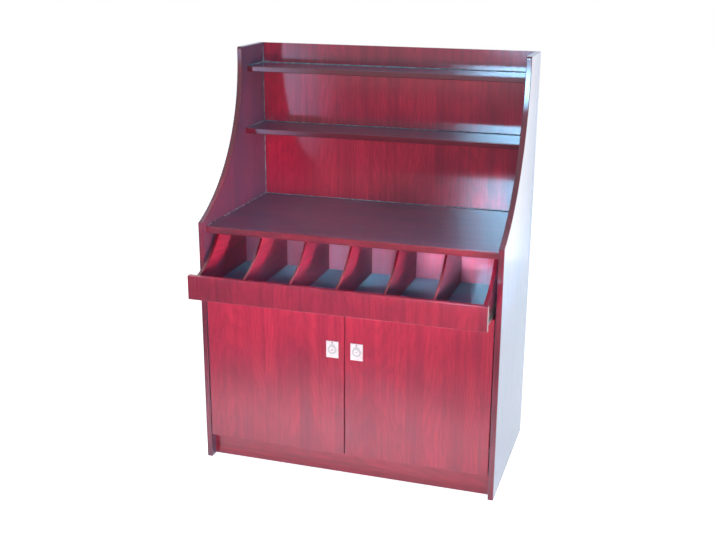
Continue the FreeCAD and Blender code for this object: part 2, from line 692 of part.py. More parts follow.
def make_doors():
    blank = box("door_blank", ("-door_edge", "front", "door_low"),
                ("door_wide", "board", "door_high"))
    screws = make_cup_screws()
    mirrored("right_cup_screws", screws)
    pins, seats = zip(*[hinge_cup(level, screws) for level in HINGE_LEVELS])
    mirrored("right_hinge_pins", group("left_hinge_pins", pins))
    door = cut("left_door", front_rounded(blank), *make_lock(), *seats, screws)
    mirrored("right_door", door)


# ---------------------------------------------------------------------------------------
# Assembly and export
# ---------------------------------------------------------------------------------------
def on_both_sides(*names):
    return [f"{side}_{name}" for side in ("left", "right") for name in names]


NODES = [
    "back_panel", *level_boards(), "plinth_board", "door_post", "dowels", "back_screws",
    "slide_case_screws", "hinge_arm_screws", "tray_front", "tray_floor", "tray_back",
    "tray_left_side", "tray_right_side", *(f"tray_divider_{number}" for number in DIVIDERS),
    "tray_screws", "slide_rail_screws",
    *on_both_sides("side_panel", "upper_hinge_arm", "lower_hinge_arm", "slide_case",
                   "slide_rail", "ball_cage", "balls", "door", "upper_hinge_cup",
                   "lower_hinge_cup", "hinge_pins", "cup_screws", "lock_case", "lock_nut",
                   "plate_screw", "lock_plug", "lock_cam", "cam_screw"),
]


def build():
    dowels = make_dowels()
    _, back_holes = make_back_screws()
    case_screws = slide_screws("slide_case_screws", "-inner / 2 + strip", "front + case_set",
                               ALONG_X.inverted())
    rail_screws = slide_screws("slide_rail_screws", "-tray_half - strip",
                               "front - pull + rail_set", ALONG_X)
    arm_holes = make_arm_screws()
    for level in HINGE_LEVELS:
        hinge_arm(level, arm_holes)
    make_carcass(dowels, back_holes, case_screws, arm_holes)
    _, tray_holes = make_tray_screws()
    make_tray(tray_holes, rail_screws)
    make_cases(case_screws)
    make_rails(rail_screws)
    make_cages()
    make_doors()
    doc.recompute()


def check():
    """Stop unless every object is sound and every cut has removed something."""
    for obj in doc.Objects:
        if {"Invalid", "Error"} & set(obj.State):
            raise RuntimeError(f"{obj.Name} failed: {obj.State}")
        if obj.TypeId == "Part::Cut" and obj.Shape.Volume > obj.Base.Shape.Volume - TOUCH:
            raise RuntimeError(f"{obj.Name} removes nothing")
    for name in NODES:
        shape = doc.getObjectsByLabel(name)[0].Shape
        if shape.isNull() or not shape.isValid():
            raise RuntimeError(f"{name} has no valid shape")


def export():
    os.makedirs("parts", exist_ok=True)
    for name in NODES:
        doc.getObjectsByLabel(name)[0].Shape.exportStep(f"parts/{name}.step")


build()
check()
export()
print(len(NODES), "nodes")
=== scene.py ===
"""Looks of the condiment station cabinet: finishes, corner beads, floor, light and camera."""

import json
import math

import bpy
from mathutils import Matrix, Vector


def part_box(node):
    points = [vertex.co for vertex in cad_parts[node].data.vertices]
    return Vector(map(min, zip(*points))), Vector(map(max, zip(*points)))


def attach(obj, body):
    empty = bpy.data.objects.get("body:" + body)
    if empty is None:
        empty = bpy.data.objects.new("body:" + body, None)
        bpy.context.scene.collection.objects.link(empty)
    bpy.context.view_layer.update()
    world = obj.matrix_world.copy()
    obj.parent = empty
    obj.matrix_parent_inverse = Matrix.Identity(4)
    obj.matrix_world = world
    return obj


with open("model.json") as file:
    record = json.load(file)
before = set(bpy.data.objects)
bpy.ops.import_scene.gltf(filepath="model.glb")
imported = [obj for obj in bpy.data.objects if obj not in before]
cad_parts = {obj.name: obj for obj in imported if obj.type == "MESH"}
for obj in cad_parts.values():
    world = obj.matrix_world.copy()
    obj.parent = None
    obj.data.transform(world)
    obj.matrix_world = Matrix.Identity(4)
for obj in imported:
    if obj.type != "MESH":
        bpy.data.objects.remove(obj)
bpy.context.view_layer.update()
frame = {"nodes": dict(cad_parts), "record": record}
MM = 0.001

# Camera, in metres, radians and pixels of the photograph; the sensor is in mm
CAMERA_PLACE = (0.9841, -3.1716, 1.6949)
CAMERA_YAW, CAMERA_PITCH, CAMERA_ROLL = 0.3068, -0.3013, 0.0045
FOCAL_PIXELS, FRAME_WIDTH, SENSOR_WIDTH = 1045.51, 716, 36

# Stain colours; a narrow edge takes its own stain by a share
STAIN_LIGHT = (0.51, 0.019, 0.049)
STAIN_MIDDLE = (0.40, 0.015, 0.041)
STAIN_DARK = (0.18, 0.009, 0.027)
STAIN_PORE = (0.09, 0.006, 0.018)
# Stain worn thin on the edges, also a painted highlight along the arrises
STAIN_WORN_AND_HIGHLIGHT = (0.62, 0.095, 0.13)
# Darker stain on the narrow edges of the dividers
EDGE_DARK = {"stain": (0.10, 0.003, 0.008), "share": 0.9}
# Painted light: the levels' narrow edges take a red stain of their own, set to how the front
# edges look in the light they catch, apart from the darkened faces
EDGE_RED_PAINTED_LIGHT = {"stain": (0.16, 0.005, 0.013), "share": 0.85}

# Shares of stain. A pair goes from clear to clouded wood, which CLOUD_RANGE tells apart
CLOUD_RANGE = (0.3, 0.7)
LATE_SHARE = (0.28, 0.09)
# Share of the painted light and shade inside the tray, from clear to clouded wood
PAINTED_LIGHT_SHARE = (0.35, 0.55)
BAND_SHARE = 0.44
CLOUD_SHARE = 0.50
PORE_SHARE = 0.5
WORN_AND_HIGHLIGHT_SHARE = (0.15, 0.45)

# Under the lacquer
WOOD_ROUGHNESS = (0.36, 0.52)
WOOD_SPECULAR = 0.08
GRAIN_DEPTH = 0.12 * MM

# Gloss lacquer and its blue haze; and inside the tray, painted light and shade:
# # a lilac glare on the tray's back, a slate shade on its floor
LACQUER_ROUGHNESS = 0.10
LACQUER_IOR = 1.55
LACQUER_WAVE = 0.5 * MM
LACQUER_WAVE_SCALE = 28.0
BLOOM_TINT = (0.22, 0.62, 1.0, 1.0)
BLOOM_ROUGHNESS = 0.45
# Painted glare on the tray's back, and painted shade on its floor
LILAC_PAINTED_GLARE = (0.54, 0.34, 0.53)
SLATE_PAINTED_SHADE = (0.05, 0.13, 0.22)

# Figure of the veneer, in metres: pitch of the growth rings, width of a leaf, how far leaves
# are shifted along the tree, and how far the slow and the quick waves move the rings
RING_PITCH = 0.011
LEAF_WIDTH = 0.24
LEAF_SHIFT = 7.0
WANDER_REACH = 0.16
WANDER_DEPTH = 0.05
RIPPLE_REACH = 0.012

# Slope of the rings' axis to the grain, and the run after which it turns back
LEAN = 0.12
LEAN_RUN = 0.95

# Noise scales of the veneer, per metre across and along the grain, and from leaf to leaf
WANDER_SCALE = (7.0, 1.4, 1.0)
RIPPLE_SCALE = (70.0, 5.0, 1.0)
BAND_SCALE = (38.0, 1.3, 1.0)
STREAK_SCALE = (230.0, 4.5, 1.0)
PORE_SCALE = (1300.0, 42.0, 1.0)
CLOUD_SCALE = (9.0, 5.0, 1.0)

# Cosines to the thickness where the stain of a narrow edge starts and where it is full
EDGE_RANGE = (0.95, 0.6)

# Worn and rubbed edges: the cosines between the real and the rounded normal where the mark
# # starts and where it is full, how far in it reaches, and its share on metal. On the wood the
# # worn edge is also a painted highlight along the arrises
EDGE_MARK_RANGE = (0.995, 0.82)
WORN_AND_HIGHLIGHT_RADIUS = 1.2 * MM
RUBBED_RADIUS = 0.6 * MM
RUBBED_SHARE = 0.6

# CAD nodes that each kind of board dresses
BOARD_NODES = {
    "back": ["back_panel", "door_post"],
    "door": ["left_door", "right_door"],
    "tray_face": ["tray_front"],
    "side": ["left_side_panel", "right_side_panel"],
    "level": ["bottom_board", "deck_board", "countertop", "lower_shelf", "upper_shelf"],
    "plinth": ["plinth_board"],
    "divider": ["tray_left_side", *(f"tray_divider_{number}" for number in range(1, 6))],
    "tray_side": ["tray_right_side"],
    "tray_level": ["tray_floor"],
    "tray_back": ["tray_back"],
}

# Thin beads of filler and lacquer in the inner corners; their pale blue-grey tone is partly
# # a painted highlight along the corners
BEAD_RADIUS = 2.2 * MM
BEAD_STEPS = 6
BEAD_SETBACK = 4 * MM

# Floor and ambient light. The floor's glow is a ramp, as from, to, glow at from, glow at to:
# by distance from the middle as the camera sees it, and by Y as gloss mirrors it
FLOOR_HALF = 9.0
FLOOR_COLOUR = (0.66, 0.66, 0.66, 1)
GLOW_SEEN = (1.0, 2.6, 0.84, 1.0)
GLOW_MIRRORED = (-0.95, -0.5, 0.08, 1.0)
AMBIENT_COLOUR = (0.35, 0.80, 1.0, 1)
AMBIENT_STRENGTH = 0.18
WHITE = (1, 1, 1, 1)

# How a softbox with soft edges fades, by distance from the middle of its unit square
LAMP_MIDDLE = (0.5, 0.5, 0.0)
LAMP_FADE = (0.15, 0.5, 1.0, 0.0)

# Lamps: place, target and size (width, height) in metres, and spread in degrees
LAMPS = {
    # The pale glare in the lacquer
    "box": dict(place=(-0.10, -3.35, 1.75), target=(0.2, 0.0, 1.0), size=(0.95, 1.70),
                radiance=58.0, color=(0.31, 0.68, 1.0), in_diffuse=False, in_gloss=True,
                faded=True),
    "left_box": dict(place=(-2.45, -3.30, 0.60), target=(-0.4, 0.0, 0.9), size=(2.0, 1.9),
                     radiance=6.5, color=(0.45, 0.60, 1.0), in_gloss=True, faded=True),
    # The front, from low down and from above
    "low_right": dict(place=(0.90, -3.30, 0.60), target=(0.0, 0.0, 0.8), size=(0.8, 0.25),
                      radiance=25.0, color=(1.0, 0.82, 0.84)),
    "low_left": dict(place=(-0.30, -3.30, 0.60), target=(0.0, 0.0, 0.8), size=(0.8, 0.25),
                     radiance=11.0, color=(1.0, 0.82, 0.84)),
    "side": dict(place=(1.90, -2.00, 0.35), target=(0.0, 0.0, 0.65), size=(0.9, 0.6),
                 radiance=9.0, color=(1.0, 0.82, 0.80)),
    "front": dict(place=(0.50, -3.30, 1.50), target=(0.0, 0.0, 0.8), size=(0.8, 0.25),
                  radiance=20.0, color=(1.0, 0.80, 0.84)),
    # Narrow beams into the cells of the tray and on its front
    **{f"cells_{number}": dict(place=(0.15, -3.30, 1.50), target=(across, 0.0, 0.68),
                               size=(0.2, 0.2), radiance=1.1, color=(0.85, 0.95, 1.0),
                               spread=7.5)
       for number, across in enumerate((-0.3, -0.1, 0.1, 0.3))},
    "tray": dict(place=(3.10, -2.75, 0.84), target=(0.0, -0.35, 0.74), size=(0.6, 0.6),
                 radiance=1.8, color=(1.0, 0.85, 0.90), spread=14),
    "right_cells": dict(place=(0.90, -3.30, 0.90), target=(0.36, 0.05, 0.74), size=(0.2, 0.2),
                        radiance=2.4, color=(1.0, 0.90, 1.0), spread=6),
    # The strip of floor in front, which lights the doors from below
    "near_floor": dict(place=(-0.1, -0.62, 2.0), target=(-0.1, -0.62, 0.0), size=(1.4, 0.2),
                       radiance=9.0, color=(0.80, 0.80, 1.0), spread=40),
    # Above, left, right behind, and the floor in the cabinet's shadow
    "top": dict(place=(0.0, -1.6, 3.4), target=(0.0, -0.2, 0.8), size=(1.2, 1.2),
                radiance=6.0, color=(0.20, 0.70, 1.0)),
    "left_fill": dict(place=(-3.0, 0.60, 1.20), target=(-0.5, 0.20, 0.70), size=(1.2, 1.2),
                      radiance=5.0),
    "rim": dict(place=(1.75, 1.90, 0.55), target=(0.45, 0.0, 0.45), size=(2.20, 1.50),
                radiance=1.45, color=(1.0, 0.86, 0.80), in_gloss=True),
    "back_floor": dict(place=(0.95, 0.80, 1.60), target=(0.95, 0.80, 0.0), size=(1.0, 1.0),
                       radiance=3.0),
}

# Sockets of Blender's Mix node when it mixes colours
MIX_SHARE, MIX_COLOURS, MIX_RESULT = 0, (6, 7), 2


# ---------------------------------------------------------------------------------------
# Node trees
# ---------------------------------------------------------------------------------------
class Nodes:
    """An emptied node tree, and calls that add to it."""

    def __init__(self, tree):
        self.tree = tree
        tree.nodes.clear()

    def feed(self, socket, source):
        """Link a socket to another, or set its value."""
        if isinstance(source, bpy.types.NodeSocket):
            self.tree.links.new(source, socket)
        else:
            socket.default_value = source

    def node(self, kind, settings=None, **inputs):
        """New node with its own settings, and with sources for the inputs of these names."""
        made = self.tree.nodes.new(kind)
        for key, value in (settings or {}).items():
            setattr(made, key, value)
        for key, source in inputs.items():
            self.feed(made.inputs[key.replace("_", " ")], source)
        return made

    def filled(self, kind, settings, sources):
        """New node with its first inputs fed in turn."""
        made = self.node(kind, settings)
        for socket, source in zip(made.inputs, sources):
            self.feed(socket, source)
        return made

    def deliver(self, kind, source):
        """Output node of the tree, fed by a source."""
        self.feed(self.node(kind).inputs[0], source)

    def place(self):
        return self.node("ShaderNodeTexCoord").outputs["Object"]

    def math(self, operation, *sources):
        return self.filled("ShaderNodeMath", {"operation": operation}, sources).outputs[0]

    def measure(self, operation, *vectors):
        """Number that a vector operation gives."""
        return self.filled("ShaderNodeVectorMath", {"operation": operation},
                           vectors).outputs["Value"]

    def ramp(self, value, low, high, to_low=0.0, to_high=1.0, shape="LINEAR"):
        """Value from low to high, brought to to_low to to_high and held beyond them."""
        return self.node("ShaderNodeMapRange", {"interpolation_type": shape}, Value=value,
                         From_Min=low, From_Max=high, To_Min=to_low, To_Max=to_high).outputs[0]

    def mirrored(self):
        """1 for glossy and transmission rays, else 0."""
        path = self.node("ShaderNodeLightPath").outputs
        return self.math("MAXIMUM", path["Is Glossy Ray"], path["Is Transmission Ray"])

    def seen(self):
        """1 for camera rays, else 0."""
        return self.node("ShaderNodeLightPath").outputs["Is Camera Ray"]


class Graph(Nodes):
    """A new material with one Principled shader."""

    def __init__(self, name):
        self.material = bpy.data.materials.new(name)
        self.material.use_nodes = True
        super().__init__(self.material.node_tree)
        self.shader = self.node("ShaderNodeBsdfPrincipled")
        self.deliver("ShaderNodeOutputMaterial", self.shader.outputs[0])

    def stretch(self, vector, scale):
        return self.node("ShaderNodeMapping", Vector=vector, Scale=scale).outputs[0]

    def noise(self, vector, scale=1.0, detail=2.0, roughness=0.5):
        return self.node("ShaderNodeTexNoise", Vector=vector, Scale=scale, Detail=detail,
                         Roughness=roughness).outputs["Fac"]

    def remap(self, value, low, high, to_low=0.0, to_high=1.0):
        return self.ramp(value, low, high, to_low, to_high, "SMOOTHSTEP")

    def blend(self, share, first, second):
        """Colour from first to second by share; each is a socket or three numbers."""
        made = self.node("ShaderNodeMix", {"data_type": "RGBA"})
        self.feed(made.inputs[MIX_SHARE], share)
        for index, source in zip(MIX_COLOURS, (first, second)):
            self.feed(made.inputs[index], source if isinstance(source, bpy.types.NodeSocket)
                      else (*source, 1.0))
        return made.outputs[MIX_RESULT]

    def bump(self, height, distance, strength):
        return self.node("ShaderNodeBump", Height=height, Distance=distance,
                         Strength=strength).outputs[0]

    def edges(self, radius):
        """0 on flat faces, rising to 1 on edges of about this radius."""
        rounded = self.node("ShaderNodeBevel", {"samples": 4}, Radius=radius).outputs[0]
        facing = self.node("ShaderNodeNewGeometry").outputs["True Normal"]
        return self.remap(self.measure("DOT_PRODUCT", rounded, facing), *EDGE_MARK_RANGE)

    def finish(self, **inputs):
        """Feed the shader's inputs and return the material."""
        for key, source in inputs.items():
            self.feed(self.shader.inputs[key.replace("_", " ")], source)
        return self.material


# ---------------------------------------------------------------------------------------
# Wood
# ---------------------------------------------------------------------------------------
def leaf_space(graph, along, across, through, seed):
    """Leaves of veneer side by side, each from another place in the tree.

    Returns the distance from the middle of the leaf, the place along the tree, and a vector
    of both with the leaf's own number for the noises.
    """
    parts = graph.node("ShaderNodeSeparateXYZ", Vector=graph.place()).outputs
    across_value = graph.math("ADD", parts[across], parts[through])
    leaf = graph.math("FLOOR", graph.math("DIVIDE", across_value, LEAF_WIDTH))
    leaf_random = graph.node("ShaderNodeTexWhiteNoise", {"noise_dimensions": "1D"},
                             W=graph.math("ADD", leaf, seed)).outputs["Value"]
    middle = graph.math("MULTIPLY", graph.math("ADD", leaf, 0.5), LEAF_WIDTH)
    from_middle = graph.math("SUBTRACT", across_value, middle)
    along_tree = graph.math("MULTIPLY_ADD", leaf_random, LEAF_SHIFT, parts[along])
    spot = graph.node("ShaderNodeCombineXYZ", X=across_value, Y=along_tree, Z=leaf_random)
    return from_middle, along_tree, spot.outputs[0]


def growth_rings(graph, from_middle, along_tree, spot):
    """Late wood, 0 to 1, of rings around a line behind the face that leans from the grain.

    The lines run along the board, and close into arches where the lean turns back.
    """
    wander = graph.noise(graph.stretch(spot, WANDER_SCALE), detail=3.0)
    ripple = graph.noise(graph.stretch(spot, RIPPLE_SCALE), detail=2.0)
    side = graph.math("MULTIPLY_ADD", graph.math("SUBTRACT", wander, 0.5), WANDER_REACH,
                      from_middle)
    lean = graph.math("MULTIPLY", graph.math("PINGPONG", along_tree, LEAN_RUN), LEAN)
    depth = graph.math("ADD", lean, graph.math("MULTIPLY", wander, WANDER_DEPTH))
    square = graph.math("ADD", graph.math("MULTIPLY", side, side),
                        graph.math("MULTIPLY", depth, depth))
    radius = graph.math("MULTIPLY_ADD", ripple, RIPPLE_REACH, graph.math("SQRT", square))
    ring = graph.math("FRACT", graph.math("DIVIDE", radius, RING_PITCH))
    return graph.math("MULTIPLY", graph.remap(ring, 0.30, 0.92), graph.remap(ring, 1.0, 0.93))


def veneer(name, along, across, through, seed, bloom, shade, coat=1.0, edge=None, painted_light_tone=None):
    """Crimson stained veneer under gloss lacquer.

    along, across and through are the axes of the grain, of the board's width and of its
    thickness; narrow edges show the lines of the face running on. bloom is the weight of the
    blue haze. shade, a factor on the stain, is painted light and shade: it scales the one
    veneer lighter or darker board by board, for how much light each kind of board catches.
    coat is the weight of the lacquer, and edge the stain of the narrow edges. milk is a
    colour mixed in by clouds that paints light and shade into the tray: lilac for the glare
    on its back, slate for the shade on its floor.
    """
    graph = Graph(name)
    # shade scales the stain: painted light and shade, set per kind of board
    light, middle, dark, in_pore = (
        tuple(shade * level for level in stain)
        for stain in (STAIN_LIGHT, STAIN_MIDDLE, STAIN_DARK, STAIN_PORE))
    from_middle, along_tree, spot = leaf_space(graph, along, across, through, seed)
    late_wood = growth_rings(graph, from_middle, along_tree, spot)
    bands = graph.noise(graph.stretch(spot, BAND_SCALE), detail=2.0)
    streaks = graph.noise(graph.stretch(spot, STREAK_SCALE), detail=4.0, roughness=0.7)
    pores = graph.noise(graph.stretch(spot, PORE_SCALE), detail=1.0)
    pore = graph.math("MULTIPLY", graph.remap(pores, 0.60, 0.72),
                      graph.remap(late_wood, 0.0, 0.6, 0.35, 1.0))
    cloud = graph.noise(graph.stretch(spot, CLOUD_SCALE), detail=3.0)

    late_share = graph.math("MULTIPLY", late_wood,
                            graph.remap(cloud, *CLOUD_RANGE, *LATE_SHARE))
    tone = graph.blend(graph.remap(streaks, 0.30, 0.66), middle, light)
    tone = graph.blend(late_share, tone, dark)
    tone = graph.blend(graph.remap(bands, 0.38, 0.72, 0.0, BAND_SHARE), tone, dark)
    tone = graph.blend(graph.remap(cloud, 0.35, 0.72, 0.0, CLOUD_SHARE), tone, dark)
    tone = graph.blend(graph.math("MULTIPLY", pore, PORE_SHARE), tone, in_pore)
    # Painted light and shade inside the tray, mixed in by the clouds
    if painted_light_tone:
        tone = graph.blend(graph.remap(cloud, *CLOUD_RANGE, *PAINTED_LIGHT_SHARE), tone, painted_light_tone)
    if edge:
        normal = graph.node("ShaderNodeTexCoord").outputs["Normal"]
        facing = graph.node("ShaderNodeSeparateXYZ", Vector=normal).outputs[through]
        on_edge = graph.remap(graph.math("ABSOLUTE", facing), *EDGE_RANGE, 0.0, edge["share"])
        tone = graph.blend(on_edge, tone, edge["stain"])
    # Edges worn thin, lightened also as a painted highlight along the arrises
    worn_and_highlight = graph.math("MULTIPLY", graph.edges(WORN_AND_HIGHLIGHT_RADIUS),
                      graph.remap(cloud, 0.2, 0.8, *WORN_AND_HIGHLIGHT_SHARE))
    tone = graph.blend(worn_and_highlight, tone, STAIN_WORN_AND_HIGHLIGHT)

    grain_height = graph.math("MULTIPLY_ADD", late_wood, 0.25,
                              graph.math("SUBTRACT", 1.0, pore))
    flow = graph.noise(graph.place(), scale=LACQUER_WAVE_SCALE, detail=1.0)
    coat_height = graph.math("MULTIPLY_ADD", grain_height, 0.08, flow)
    return graph.finish(
        Base_Color=tone,
        Roughness=graph.remap(streaks, 0.2, 0.8, *WOOD_ROUGHNESS),
        Normal=graph.bump(grain_height, GRAIN_DEPTH, 0.5),
        Specular_IOR_Level=WOOD_SPECULAR,
        Sheen_Weight=bloom,
        Sheen_Roughness=BLOOM_ROUGHNESS,
        Sheen_Tint=BLOOM_TINT,
        Coat_Weight=coat,
        Coat_IOR=LACQUER_IOR,
        Coat_Roughness=LACQUER_ROUGHNESS,
        Coat_Normal=graph.bump(coat_height, LACQUER_WAVE, 0.25),
    )


def beech(name):
    """Bare wood of the dowels, with its grain along X."""
    graph = Graph(name)
    fibres = graph.noise(graph.stretch(graph.place(), (60.0, 900.0, 900.0)), detail=2.0)
    flecks = graph.noise(graph.stretch(graph.place(), (240.0, 2200.0, 2200.0)))
    tone = graph.blend(fibres, (0.50, 0.33, 0.18), (0.72, 0.54, 0.34))
    tone = graph.blend(graph.remap(flecks, 0.58, 0.70, 0.0, 0.7), tone, (0.34, 0.20, 0.10))
    return graph.finish(Base_Color=tone, Roughness=graph.remap(fibres, 0.2, 0.8, 0.55, 0.75),
                        Normal=graph.bump(fibres, 0.1 * MM, 0.5))


def bead_with_painted_highlight(name):
    """Filler and lacquer run together in a corner; its pale blue-grey tone, greyer than on the
    boards, is partly a painted highlight along the corner.
    """
    graph = Graph(name)
    run = graph.noise(graph.place(), scale=55.0, detail=3.0)
    tone = graph.blend(graph.remap(run, 0.3, 0.7), (0.10, 0.15, 0.18), (0.22, 0.28, 0.32))
    return graph.finish(Base_Color=tone, Roughness=graph.remap(run, 0.2, 0.8, 0.18, 0.34),
                        Coat_Weight=1.0, Coat_Roughness=0.05,
                        Normal=graph.bump(run, 0.4 * MM, 0.4))


# ---------------------------------------------------------------------------------------
# Metal
# ---------------------------------------------------------------------------------------
def metal(name, bright, dull, roughness, brush, scratch=0.5):
    """Plated metal with dull patches, scratches and bright rubbed edges.

    roughness is its least and its most, and brush the fineness of its lines along X, Y, Z.
    """
    graph = Graph(name)
    lines = graph.noise(graph.stretch(graph.place(), brush), detail=2.0)
    patches = graph.noise(graph.place(), scale=70.0, detail=3.0)
    scratches = graph.noise(graph.stretch(graph.place(), (2600.0, 160.0, 900.0)), detail=1.0)
    tone = graph.blend(graph.remap(patches, 0.3, 0.75), bright, dull)
    tone = graph.blend(graph.math("MULTIPLY", graph.edges(RUBBED_RADIUS), RUBBED_SHARE),
                       tone, bright)
    low, high = roughness
    wear = graph.math("MULTIPLY_ADD", lines, 0.5, graph.math("MULTIPLY", patches, 0.5))
    relief = graph.math("ADD", lines, graph.remap(scratches, 0.66, 0.72))
    return graph.finish(
        Base_Color=tone,
        Metallic=1.0,
        Roughness=graph.remap(wear, 0.3, 0.7, low, high),
        Normal=graph.bump(relief, 0.02 * MM, scratch),
    )


def lock_face(name, node, shallow, deep, in_recess):
    """Satin plating, which turns to in_recess from shallow to deep behind a node's front."""
    graph = Graph(name)
    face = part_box(node)[0].y
    depth = graph.node("ShaderNodeSeparateXYZ", Vector=graph.place()).outputs["Y"]
    recess = graph.remap(depth, face + shallow, face + deep)
    lines = graph.noise(graph.stretch(graph.place(), (90.0, 900.0, 1500.0)), detail=2.0)
    patches = graph.noise(graph.place(), scale=90.0, detail=3.0)
    tone = graph.blend(graph.remap(patches, 0.3, 0.75), (0.97, 0.88, 0.84), (0.84, 0.75, 0.71))
    tone = graph.blend(recess, tone, in_recess)
    tone = graph.blend(graph.math("MULTIPLY", graph.edges(RUBBED_RADIUS), RUBBED_SHARE),
                       tone, (0.90, 0.86, 0.84))
    rough = graph.math("MULTIPLY_ADD", recess, 0.15, graph.remap(lines, 0.3, 0.7, 0.26, 0.40))
    return graph.finish(Base_Color=tone, Metallic=0.2, Roughness=rough,
                        Normal=graph.bump(lines, 0.02 * MM, 0.4))


# ---------------------------------------------------------------------------------------
# Finish of every CAD node
# ---------------------------------------------------------------------------------------
def make_boards():
    """Veneer of each kind of board in BOARD_NODES."""
    return {
        # shade is painted light and shade: the one veneer is made lighter or darker board by
        # board, for how much light each kind of board catches
        "back": veneer("veneer_back", "Z", "X", "Y", seed=1.0, bloom=0.07, shade=1.25),
        "door": veneer("veneer_door", "Z", "X", "Y", seed=23.0, bloom=0.03, shade=1.02),
        "tray_face": veneer("veneer_tray_face", "Z", "X", "Y", seed=41.0, bloom=0.05,
                            shade=0.52),
        "side": veneer("veneer_side", "Z", "Y", "X", seed=57.0, bloom=0.55, shade=0.5),
        # Painted light on the front edges of the levels, by their own red stain
        "level": veneer("veneer_level", "X", "Y", "Z", seed=71.0, bloom=0.19, shade=0.45,
                        edge=EDGE_RED_PAINTED_LIGHT),
        "plinth": veneer("veneer_plinth", "X", "Z", "Y", seed=83.0, bloom=0.15, shade=1.0),
        "divider": veneer("veneer_divider", "Y", "Z", "X", seed=89.0, bloom=0.12, shade=1.25,
                          edge=EDGE_DARK),
        "tray_side": veneer("veneer_tray_side", "Y", "Z", "X", seed=107.0, bloom=0.05,
                            shade=0.7, coat=0.12),
        # Painted shade: slate on the tray's floor
        "tray_level": veneer("veneer_tray_floor", "X", "Y", "Z", seed=97.0, bloom=0.9,
                             shade=0.6, painted_light_tone=SLATE_PAINTED_SHADE),
        # Painted glare: lilac on the tray's back
        "tray_back": veneer("veneer_tray_back", "Z", "X", "Y", seed=101.0, bloom=1.0,
                            shade=1.2, painted_light_tone=LILAC_PAINTED_GLARE),
    }


def make_slot_finishes():
    """Finish of each material slot, for the nodes that have none of their own."""
    return {
        "screw_steel": metal("zinc_screws", bright=(0.70, 0.69, 0.66), dull=(0.46, 0.45, 0.42),
                             roughness=(0.28, 0.50), brush=(900.0, 900.0, 900.0)),
        "slide_steel": metal("zinc_rolled", bright=(0.42, 0.43, 0.43), dull=(0.26, 0.27, 0.27),
                             roughness=(0.26, 0.48), brush=(1500.0, 40.0, 1500.0)),
        "bright_steel": metal("ground_steel", bright=(0.80, 0.81, 0.83),
                              dull=(0.66, 0.67, 0.70), roughness=(0.05, 0.14),
                              brush=(700.0, 700.0, 60.0), scratch=0.2),
        "hinge_steel": metal("nickel_plate", bright=(0.74, 0.73, 0.70), dull=(0.55, 0.54, 0.50),
                             roughness=(0.20, 0.38), brush=(90.0, 1200.0, 1200.0)),
        "lock_steel": metal("plated_steel", bright=(0.62, 0.61, 0.58), dull=(0.42, 0.41, 0.38),
                            roughness=(0.30, 0.50), brush=(1000.0, 1000.0, 200.0)),
        "plain_wood": beech("beech_dowel"),
    }


def make_finishes():
    """Finish of every CAD node, by the node's name."""
    boards = make_boards()
    by_slot = make_slot_finishes()
    bronzed = metal("bronzed_screw", bright=(0.30, 0.22, 0.15), dull=(0.17, 0.12, 0.08),
                    roughness=(0.30, 0.50), brush=(900.0, 900.0, 900.0))
    plate = lock_face("lock_face", "left_plate_screw", shallow=0.4 * MM, deep=0.8 * MM,
                      in_recess=(0.58, 0.58, 0.53))
    # Painted shade: the key slot in the plug is painted near black from half a millimetre in
    keyhole = lock_face("lock_keyhole", "left_lock_plug", shallow=0.5 * MM, deep=1.5 * MM,
                        in_recess=(0.02, 0.02, 0.02))
    by_node = {node: boards[board] for board, nodes in BOARD_NODES.items() for node in nodes}
    for side in ("left", "right"):
        by_node[f"{side}_lock_case"] = plate
        by_node[f"{side}_lock_plug"] = keyhole
        by_node[f"{side}_plate_screw"] = bronzed
    finishes = {}
    for part in frame["record"]["subparts"]:
        node, slot = part["node"], part["material_slot"]
        finishes[node] = by_node[node] if node in by_node else by_slot[slot]
    return finishes


def dress(finishes):
    for node, finish in finishes.items():
        mesh = frame["nodes"][node].data
        mesh.materials.clear()
        mesh.materials.append(finish)


# ---------------------------------------------------------------------------------------
# Beads in the inner corners
# ---------------------------------------------------------------------------------------
def corner_bead(name, start, end, first, second, finish):
    """Concave strip along a corner line; first and second point along the two faces."""
    start, end, first, second = (Vector(v) for v in (start, end, first, second))
    profile = [Vector()]
    for step in range(BEAD_STEPS + 1):
        angle = step / BEAD_STEPS * math.pi / 2
        hollow = first * (1 - math.sin(angle)) + second * (1 - math.cos(angle))
        profile.append(BEAD_RADIUS * hollow)
    count = len(profile)
    points = [end_point + offset for end_point in (start, end) for offset in profile]
    faces = [(i, (i + 1) % count, (i + 1) % count + count, i + count) for i in range(count)]
    faces += [tuple(range(count)), tuple(range(2 * count - 1, count - 1, -1))]
    mesh = bpy.data.meshes.new(name)
    mesh.from_pydata(points, [], faces)
    mesh.validate()
    mesh.update()
    mesh.shade_smooth()
    mesh.materials.append(finish)
    bead = bpy.data.objects.new(name, mesh)
    bpy.context.scene.collection.objects.link(bead)
    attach(bead, "carcass")


